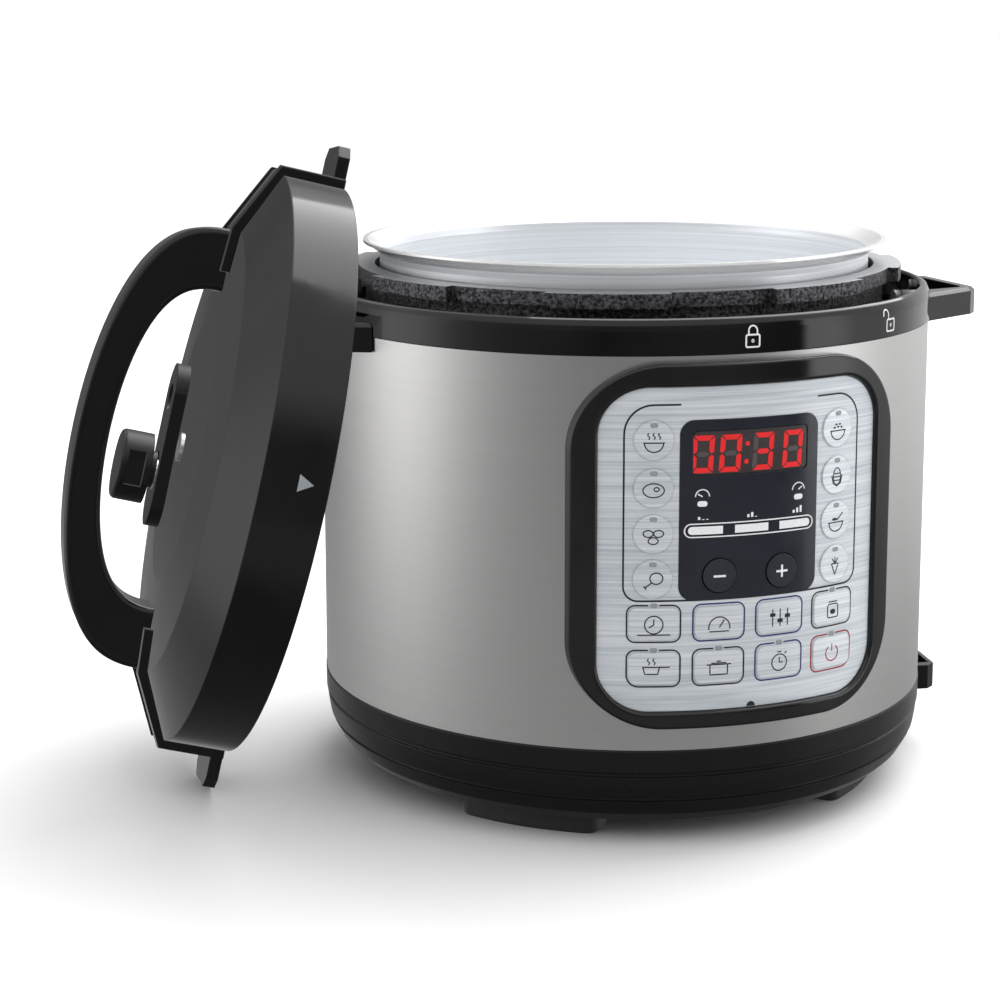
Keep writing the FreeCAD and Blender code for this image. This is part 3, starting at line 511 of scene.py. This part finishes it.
def wrap(point, radius):
    """A flat point (arc length, height) in mm, laid on a cylinder about Z."""
    u, z = point
    r = radius(z) if callable(radius) else radius
    a = u / FACE_R
    return Vector((r * math.sin(a) * MM, -r * math.cos(a) * MM, z * MM))


def thicken(mesh_data, depth):
    """Gives an open skin a small thickness, inwards."""
    bm = bmesh.new()
    bm.from_mesh(mesh_data)
    bmesh.ops.remove_doubles(bm, verts=bm.verts, dist=1e-6)
    bmesh.ops.recalc_face_normals(bm, faces=bm.faces)
    bmesh.ops.solidify(bm, geom=bm.faces[:], thickness=depth)
    bm.to_mesh(mesh_data)
    bm.free()


class Print:
    """Collects flat shapes and makes one piece of them on a curved face."""

    def __init__(self, name, material, body, radius, slot, place=None):
        self.name, self.material, self.body, self.radius, self.slot = name, material, body, radius, slot
        self.place = place
        self.verts, self.faces = [], []

    def quad(self, corners):
        first = len(self.verts)
        self.verts += [wrap(c, self.radius) for c in corners]
        self.faces.append(tuple(range(first, first + 4)))

    def line(self, points, width, closed=False):
        """A stroke of one width along points, with mitred joints."""
        points = dense(points, closed)
        count = len(points)
        edges = []
        for i, p in enumerate(points):
            before = points[i - 1] if closed or i else p
            after = points[(i + 1) % count] if closed or i < count - 1 else p
            dx, dz = after[0] - before[0], after[1] - before[1]
            size = math.hypot(dx, dz) or 1.0
            nx, nz = -dz / size * width / 2, dx / size * width / 2
            edges.append(((p[0] + nx, p[1] + nz), (p[0] - nx, p[1] - nz)))
        for i in range(count if closed else count - 1):
            a, b = edges[i], edges[(i + 1) % count]
            self.quad((a[0], a[1], b[1], b[0]))
        return self

    def fill(self, outline):
        """A filled convex outline, cut into narrow upright strips so that it follows the curve."""
        us = sorted(set(round(p[0], 4) for p in outline))
        cuts = []
        for a, b in zip(us, us[1:]):
            steps = max(1, math.ceil((b - a) / 1.5))
            cuts += [a + (b - a) * i / steps for i in range(steps)]
        cuts.append(us[-1])
        spans = [span(outline, u) for u in cuts]
        for i in range(len(cuts) - 1):
            (l0, h0), (l1, h1) = spans[i], spans[i + 1]
            self.quad(((cuts[i], l0), (cuts[i + 1], l1), (cuts[i + 1], h1), (cuts[i], h0)))
        return self

    def make(self):
        mesh = bpy.data.meshes.new(self.name)
        mesh.from_pydata(self.verts, [], self.faces)
        thicken(mesh, PRINT_T)
        if self.place is not None:
            mesh.transform(self.place)
        mesh.materials.append(MAT[self.material])
        piece = bpy.data.objects.new(self.name, mesh)
        bpy.context.scene.collection.objects.link(piece)
        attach(piece, self.body)
        return piece


def dense(points, closed, step=1.2):
    out = []
    pairs = list(zip(points, points[1:] + points[:1])) if closed else list(zip(points, points[1:]))
    for a, b in pairs:
        steps = max(1, math.ceil(math.dist(a, b) / step))
        out += [(a[0] + (b[0] - a[0]) * i / steps, a[1] + (b[1] - a[1]) * i / steps) for i in range(steps)]
    if not closed:
        out.append(points[-1])
    return out


def span(outline, u):
    """Lowest and highest z of a convex outline at u."""
    zs = []
    for (u0, z0), (u1, z1) in zip(outline, outline[1:] + outline[:1]):
        if abs(u1 - u0) < 1e-4:
            if abs(u - u0) < 1e-3:
                zs += [z0, z1]
        elif min(u0, u1) - 1e-3 <= u <= max(u0, u1) + 1e-3:
            zs.append(z0 + (z1 - z0) * (u - u0) / (u1 - u0))
    return min(zs), max(zs)


def ring_points(u, z, half_w, half_h, steps=20):
    return [(u + half_w * math.cos(2 * math.pi * i / steps), z + half_h * math.sin(2 * math.pi * i / steps))
            for i in range(steps)]


def arc(u, z, r, start, end, steps=10):
    angles = [math.radians(start + (end - start) * i / steps) for i in range(steps + 1)]
    return [(u + r * math.cos(a), z + r * math.sin(a)) for a in angles]


def rounded(u, z, half_w, half_h, radii):
    """Rounded rectangle, counter-clockwise from the right.

    The radii are in the order top right, top left, bottom left, bottom right.
    """
    tr, tl, bl, br = radii
    out = arc(u + half_w - tr, z + half_h - tr, tr, 0, 90, 6)
    out += arc(u - half_w + tl, z + half_h - tl, tl, 90, 180, 6)
    out += arc(u - half_w + bl, z - half_h + bl, bl, 180, 270, 6)
    out += arc(u + half_w - br, z - half_h + br, br, 270, 360, 6)
    return out


# ------------------------------------------------------------------ control panel


PANEL_HALF = 53.4
PANEL_Z = (108.8, 190.0)


def panel_outline():
    """The line round the side keys and the window, and the small notch at the foot of the panel."""
    p = Print("panel_outline", "ink", "base", FACE_R + 0.07, "control_fascia")
    low, high = PANEL_Z
    path = [(-30.5, high)] + arc(-PANEL_HALF + 12, high - 12, 12, 90, 180)
    path += arc(-PANEL_HALF + 6, low + 6, 6, 180, 270)
    path += arc(PANEL_HALF - 6, low + 6, 6, 270, 360)
    path += arc(PANEL_HALF - 12, high - 12, 12, 0, 90) + [(30.5, high)]
    p.line(path, 0.75)
    p.make()
    notch = Print("panel_notch", "ink", "base", FACE_R + 0.07, "control_fascia")
    notch.fill([(1.0 + 1.9 * math.cos(math.radians(a)), 62.2 + 2.0 * math.sin(math.radians(a)))
                for a in range(0, 181, 15)])
    notch.make()


SEGMENTS = {"0": "abcdef", "3": "abcdg"}
DIGIT_W, DIGIT_H, DIGIT_BAR, SLANT = 9.2, 15.4, 2.1, 0.06
DIGIT_Z = 169.4
PILL_Z = 137.9
LEVEL_Z = 142.4
DIAL_Z = 152.0
STEP_Z = 118.6


def segment(letter, u, z):
    """Outline of one bar of a seven-bar digit whose centre is at u, z."""
    w, h, t, g = DIGIT_W / 2, DIGIT_H / 2, DIGIT_BAR, 0.22
    if letter in "adg":
        level = {"a": h - t / 2, "g": 0.0, "d": -h + t / 2}[letter]
        near, far = w - t * 1.25 - g, w - t * 0.75 - g
        flat = [(-far, level), (-near, level + t / 2), (near, level + t / 2),
                (far, level), (near, level - t / 2), (-near, level - t / 2)]
        if letter == "a":
            flat = [(-w + g * 2, h), (w - g * 2, h), (w - t - g, h - t), (-w + t + g, h - t)]
        if letter == "d":
            flat = [(-w + t + g, -h + t), (w - t - g, -h + t), (w - g * 2, -h), (-w + g * 2, -h)]
    else:
        side = -1 if letter in "ef" else 1
        up = 1 if letter in "bf" else -1
        flat = [(side * w, up * (h - g * 2)), (side * (w - t), up * (h - t - g)),
                (side * (w - t), up * (t * 0.55 + g)), (side * (w - t / 2), up * g),
                (side * w, up * (t * 0.3 + g))]
    return [(u + a + SLANT * b, z + b) for a, b in flat]


def display():
    lit = Print("display_digits", "digit", "base", FACE_R + 0.10, "led_display")
    off = Print("display_ghost_bars", "ghost", "base", FACE_R + 0.10, "led_display")
    for char, u in (("0", -21.4), ("0", -9.7), ("3", 4.6), ("0", 18.4)):
        for letter in "abcdefg":
            (lit if letter in SEGMENTS[char] else off).fill(segment(letter, u, DIGIT_Z))
    for z in (165.6, 173.0):
        lit.fill(ring_points(-2.6 + SLANT * (z - DIGIT_Z), z, 1.0, 1.0, 12))
    lit.make()
    off.make()
    marks = Print("window_marks", "ink_white", "base", WINDOW_R + 0.07, "display_window")
    for u in (-21.4, 21.4):
        marks.fill(rounded(u, 149.0, 2.1, 1.15, (1.1,) * 4))
    marks.line(rounded(0.0, PILL_Z, 28.7, 2.75, (2.7,) * 4), 0.5, True)
    for u0, u1, left, right in ((-27.2, -12.6, 1.6, 0.1), (-7.4, 7.4, 0.1, 0.1), (12.6, 27.2, 0.1, 1.6)):
        marks.fill(rounded((u0 + u1) / 2, PILL_Z, (u1 - u0) / 2, 1.65, (right, left, left, right)))
    # level marks over the bar: one, two and three rising strokes
    for count, u in ((1, -21.0), (2, 0.0), (3, 21.0)):
        for i in range(3):
            height = 1.2 + 0.8 * i
            x = u + (i - 1) * 1.7
            if i < count:
                top = LEVEL_Z + height
                marks.fill([(x - 0.5, LEVEL_Z), (x + 0.5, LEVEL_Z), (x + 0.5, top), (x - 0.5, top)])
            else:
                marks.line([(x - 0.5, LEVEL_Z + 0.1), (x + 0.5, LEVEL_Z + 0.1)], 0.3)
    # pressure marks: a dial with its needle low, and one with its needle high
    for u, needle in ((-21.4, 150), (21.4, 35)):
        marks.line(arc(u, DIAL_Z, 2.9, 0, 180, 14), 0.45)
        tip = math.radians(needle)
        marks.line([(u, DIAL_Z), (u + 2.2 * math.cos(tip), DIAL_Z + 2.2 * math.sin(tip))], 0.5)
    marks.make()


def step_marks():
    for name, u in (("minus", -13.85), ("plus", 13.85)):
        p = Print("mark_" + name, "ink_white", "key_" + name, STEP_R + 0.07, "key_" + name)
        p.line([(u - 2.6, STEP_Z), (u + 2.6, STEP_Z)], 0.9)
        if name == "plus":
            p.line([(u, STEP_Z - 2.6), (u, STEP_Z + 2.6)], 0.9)
        p.make()


# small generic pictures, drawn round (0, 0) in mm: strokes, then filled outlines


def bowl():
    return [arc(0, -0.2, 3.2, 180, 360, 12), [(-3.6, -0.2), (3.6, -0.2)]]


def steam(u, z, count=3):
    strokes = []
    for i in range(count):
        x = u + (i - (count - 1) / 2) * 1.8
        strokes.append([(x, z), (x + 0.4, z + 0.7), (x - 0.4, z + 1.5), (x, z + 2.2)])
    return strokes


def picture(name):
    """Strokes and filled outlines of one key's picture."""
    if name == "soup":
        return bowl() + steam(0, 1.0), []
    if name == "steak":
        return [ring_points(0, 0, 3.6, 2.4), ring_points(1.0, 0.4, 0.9, 0.7, 10)], []
    if name == "beans":
        return [ring_points(-1.7, 0.9, 1.7, 1.2, 14), ring_points(1.8, 0.9, 1.7, 1.2, 14),
                ring_points(0, -1.6, 1.7, 1.2, 14)], []
    if name == "drumstick":
        bone = [[(-0.4, -0.5), (-2.6, -2.2)], [(-2.2, -2.8), (-3.1, -1.7)]]
        return [ring_points(1.2, 1.0, 2.2, 2.0, 16)] + bone, []
    if name == "rice":
        grains = ((-1.6, 0.9), (0, 1.1), (1.6, 0.9), (-0.8, 2.0), (0.8, 2.0))
        return bowl(), [ring_points(x, z, 0.55, 0.35, 8) for x, z in grains]
    if name == "corn":
        rows = [[(-1.3, z), (1.3, z)] for z in (-1.2, 0.0, 1.2)]
        leaves = [(-2.4, 0.6), (-1.7, -2.2), (0, -3.2), (1.7, -2.2), (2.4, 0.6)]
        return [ring_points(0, 0.2, 1.7, 3.0, 18), leaves] + rows, []
    if name == "porridge":
        return bowl() + [[(0.6, 0.6), (3.2, 3.0)]], [ring_points(-0.6, 0.9, 1.3, 0.5, 12)]
    if name == "carrot":
        root = [(-1.6, 0.8), (0.0, -3.2), (1.6, 0.8), (-1.6, 0.8)]
        return [root, [(0, 0.9), (0, 3.0)], [(0, 0.9), (-1.4, 2.6)], [(0, 0.9), (1.4, 2.6)]], []
    if name == "slow":
        hands = [(0, 1.9), (0, 0), (-1.6, -0.9)]
        return [ring_points(0, 0, 3.0, 3.0, 20), hands, [(-5.4, -3.4), (5.4, -3.4)]], []
    if name == "gauge":
        return [arc(0, -1.6, 3.6, -10, 190, 16), [(0, -1.6), (1.7, 1.0)], [(-3.4, -2.9), (3.4, -2.9)]], []
    if name == "sliders":
        lines = [[(x, -2.9), (x, 2.9)] for x in (-2.8, 0, 2.8)]
        return lines, [rounded(x, z, 1.0, 0.6, (0.2,) * 4) for x, z in ((-2.8, 1.0), (0, -1.1), (2.8, 0.3))]
    if name == "jar":
        glass = rounded(0, -0.7, 2.3, 2.3, (0.9, 0.9, 0.6, 0.6))
        return [glass + glass[:1], [(-1.9, 2.4), (1.9, 2.4)]], [ring_points(0, -1.0, 1.2, 0.9, 14)]
    if name == "pan":
        sides = [(-3.4, 0.8), (-2.8, -1.6), (1.4, -1.6), (2.0, 0.8)]
        return [sides, [(-3.7, 0.8), (5.4, 0.8)]] + steam(-0.7, 1.6, 2), []
    if name == "cooking_pot":
        sides = [(-3.0, 1.0), (-3.0, -2.4), (3.0, -2.4), (3.0, 1.0)]
        return [sides, [(-4.2, 1.0), (4.2, 1.0)], [(-0.7, 2.1), (0.7, 2.1)], [(-2.6, 1.5), (2.6, 1.5)]], []
    if name == "clock":
        hands = [(0, 1.5), (0, -0.3), (1.4, -0.3)]
        knobs = [[(-0.8, 3.3), (0.8, 3.3)], [(2.0, 2.6), (2.7, 3.2)]]
        return [ring_points(0, -0.3, 2.8, 2.8, 20), hands] + knobs, []
    return [arc(0, -0.2, 2.7, 125, 415, 18), [(0, 0.4), (0, 3.0)]], []


# node, place along the face, height, picture
SIDE_KEYS = (
    ("key_left_1", -41.4, 175.6, "soup"), ("key_left_2", -41.4, 155.8, "steak"),
    ("key_left_3", -41.4, 136.8, "beans"), ("key_left_4", -41.4, 118.0, "drumstick"),
    ("key_right_1", 41.4, 175.6, "rice"), ("key_right_2", 41.4, 155.8, "corn"),
    ("key_right_3", 41.4, 136.8, "porridge"), ("key_right_4", 41.4, 118.0, "carrot"),
)
# the same, then the ink of the frame and whether it has a lamp
PAD_KEYS = (
    ("key_pad_1_1", -40.8, 99.2, "slow", "ink", True),
    ("key_pad_1_2", -13.6, 99.2, "gauge", "ink_blue", False),
    ("key_pad_1_3", 13.6, 99.2, "sliders", "ink_blue", False),
    ("key_pad_1_4", 40.8, 99.2, "jar", "ink", True),
    ("key_pad_2_1", -40.8, 80.3, "pan", "ink", True),
    ("key_pad_2_2", -13.6, 80.3, "cooking_pot", "ink", True),
    ("key_pad_2_3", 13.6, 80.3, "clock", "ink_blue", True),
    ("key_pad_2_4", 40.8, 80.3, "power", "ink_red", True),
)
ROUND_KEY_R = 8.2
PAD_HALF = (10.45, 6.8)
FRAME_HALF = (11.05, 7.75)
FRAME_CORNER = 3.4
FRAME_WIDE_CORNER = 5.0
LAMP_GAP = 2.2


def is_loop(stroke):
    """True for a round outline, whose last point is one step from its first."""
    return len(stroke) > 9 and math.dist(stroke[0], stroke[-1]) < 1.4


def key_picture(node, u, z, name, ink, scale):
    p = Print("picture_" + node, ink, node, KEY_R + 0.07, node)
    strokes, fills = picture(name)
    for stroke in strokes:
        p.line([(u + a * scale, z + b * scale) for a, b in stroke], 0.5, is_loop(stroke))
    for outline in fills:
        p.fill([(u + a * scale, z + b * scale) for a, b in outline])
    p.make()


def membrane(node, path):
    """The thin film that bridges the gap round a key."""
    film = Print("film_" + node, "fascia", "base", FACE_R + 0.02, "control_fascia")
    film.line(path, 0.5, True)
    film.make()


def lamp(node, body, radius, slot, u, z):
    """The small indicator lamp of a key."""
    p = Print("lamp_" + node, "lamp", body, radius + 0.09, slot)
    p.fill(rounded(u, z, 1.6, 0.95, (0.9,) * 4))
    p.make()


def keys():
    for node, u, z, name in SIDE_KEYS:
        membrane(node, ring_points(u, z, ROUND_KEY_R, ROUND_KEY_R, 40))
        key_picture(node, u, z - 0.8, name, "ink", 1.2)
        lamp(node, node, KEY_R, node, u, z + 6.2)
    for node, u, z, name, ink, lamp_on in PAD_KEYS:
        membrane(node, rounded(u, z, *PAD_HALF, (3.2,) * 4))
        key_picture(node, u, z - 0.3, name, "ink_red" if ink == "ink_red" else "ink", 1.25)
        radii = [FRAME_CORNER] * 4
        if node == "key_pad_2_1":
            radii[2] = FRAME_WIDE_CORNER
        if node == "key_pad_2_4":
            radii[3] = FRAME_WIDE_CORNER
        path = rounded(u, z, *FRAME_HALF, radii)
        top = z + FRAME_HALF[1]
        frame_line = Print("frame_" + node, ink, "base", FACE_R + 0.07, "control_fascia")
        if lamp_on:
            start = [i for i, q in enumerate(path) if q[0] < u and q[1] > z][0]
            path = [(u - LAMP_GAP, top)] + path[start:] + path[:start] + [(u + LAMP_GAP, top)]
        frame_line.line(path, 0.62, not lamp_on)
        frame_line.make()
        if lamp_on:
            lamp(node, "base", FACE_R, "control_fascia", u, top)


# ------------------------------------------------------------------ marks on the ring and the lid


def ring_face(z):
    """Radius just outside the ring's outer face at a height."""
    return 138.6 - max(0.0, z - 219.4) * 0.25 + 0.12


PADLOCK_Z = 214.6
SHACKLE_R = 1.9


def padlock(name, degrees, is_open):
    u, z, r = math.radians(degrees) * FACE_R, PADLOCK_Z, SHACKLE_R
    p = Print(name, "ink_white", "base", ring_face, "top_ring")
    p.line(rounded(u, z, 3.0, 2.5, (0.7,) * 4), 0.7, True)
    p.line(ring_points(u, z, 0.5, 0.6, 8), 0.4, True)
    if is_open:
        bow = arc(u - 2 * r, z + 4.9, r, 0, 180, 8)
        p.line([(u - r, z + 2.6), (u - r, z + 4.9)] + bow + [(u - 3 * r, z + 4.0)], 0.65)
    else:
        bow = arc(u, z + 4.3, r, 0, 180, 8)
        p.line([(u + r, z + 2.6), (u + r, z + 4.3)] + bow + [(u - r, z + 2.6)], 0.65)
    p.make()


def lid_place():
    """Closed-lid axes turned to the way the lid leans: the lid's rim centre and axis."""
    hinge = [j for j in frame["joints"] if j["name"] == "lid_swing"][0]
    turn = Matrix.Rotation(math.radians(-LID_LEAN), 4, Vector(hinge["axis"]))
    return Matrix.Translation(LID_RIM_CENTRE) @ turn


def lid_arrow():
    p = Print("lid_arrow", "lamp", "lid", SKIRT_R + 0.07, "lid_shell", lid_place())
    u = math.radians(1.3) * FACE_R
    p.fill([(u, 6.6), (u + 3.9, 13.0), (u - 3.9, 13.0)])
    p.make()


def make_floor():
    mesh = bpy.data.meshes.new("studio_floor")
    reach = FLOOR_REACH
    corners = [(-reach, -reach, 0), (reach, -reach, 0), (reach, reach, 0), (-reach, reach, 0)]
    mesh.from_pydata(corners, [], [(0, 1, 2, 3)])
    material, _, _ = new_material("pale_floor", rgb(0.93, 0.93, 0.93), 0.8, Specular_IOR_Level=0.2)
    mesh.materials.append(material)
    floor = bpy.data.objects.new("studio_floor", mesh)
    floor.visible_glossy = False
    bpy.context.scene.collection.objects.link(floor)


def make_backdrop():
    """A white wall all round, seen by the camera only."""
    count = 96
    ring = ring_points(0.0, 0.0, WALL_REACH, WALL_REACH, count)
    verts = [(x, y, -1.0) for x, y in ring] + [(x, y, WALL_HIGH) for x, y in ring]
    faces = [(i, (i + 1) % count, count + (i + 1) % count, count + i) for i in range(count)]
    mesh = bpy.data.meshes.new("studio_wall")
    mesh.from_pydata(verts, [], faces)
    material, _, shader = new_material("white_wall", rgb(0, 0, 0), 1.0, Specular_IOR_Level=0.0)
    shader.inputs["Emission Color"].default_value = rgb(1, 1, 1)
    shader.inputs["Emission Strength"].default_value = 1.0
    mesh.materials.append(material)
    wall = bpy.data.objects.new("studio_wall", mesh)
    wall.visible_glossy = wall.visible_diffuse = wall.visible_shadow = wall.visible_transmission = False
    bpy.context.scene.collection.objects.link(wall)


dress_nodes()
panel_outline()
display()
step_marks()
keys()
padlock("padlock_closed", 0.0, False)
padlock("padlock_open", 32.0, True)
lid_arrow()
make_floor()
make_backdrop()
bpy.context.scene.view_settings.view_transform = "Standard"
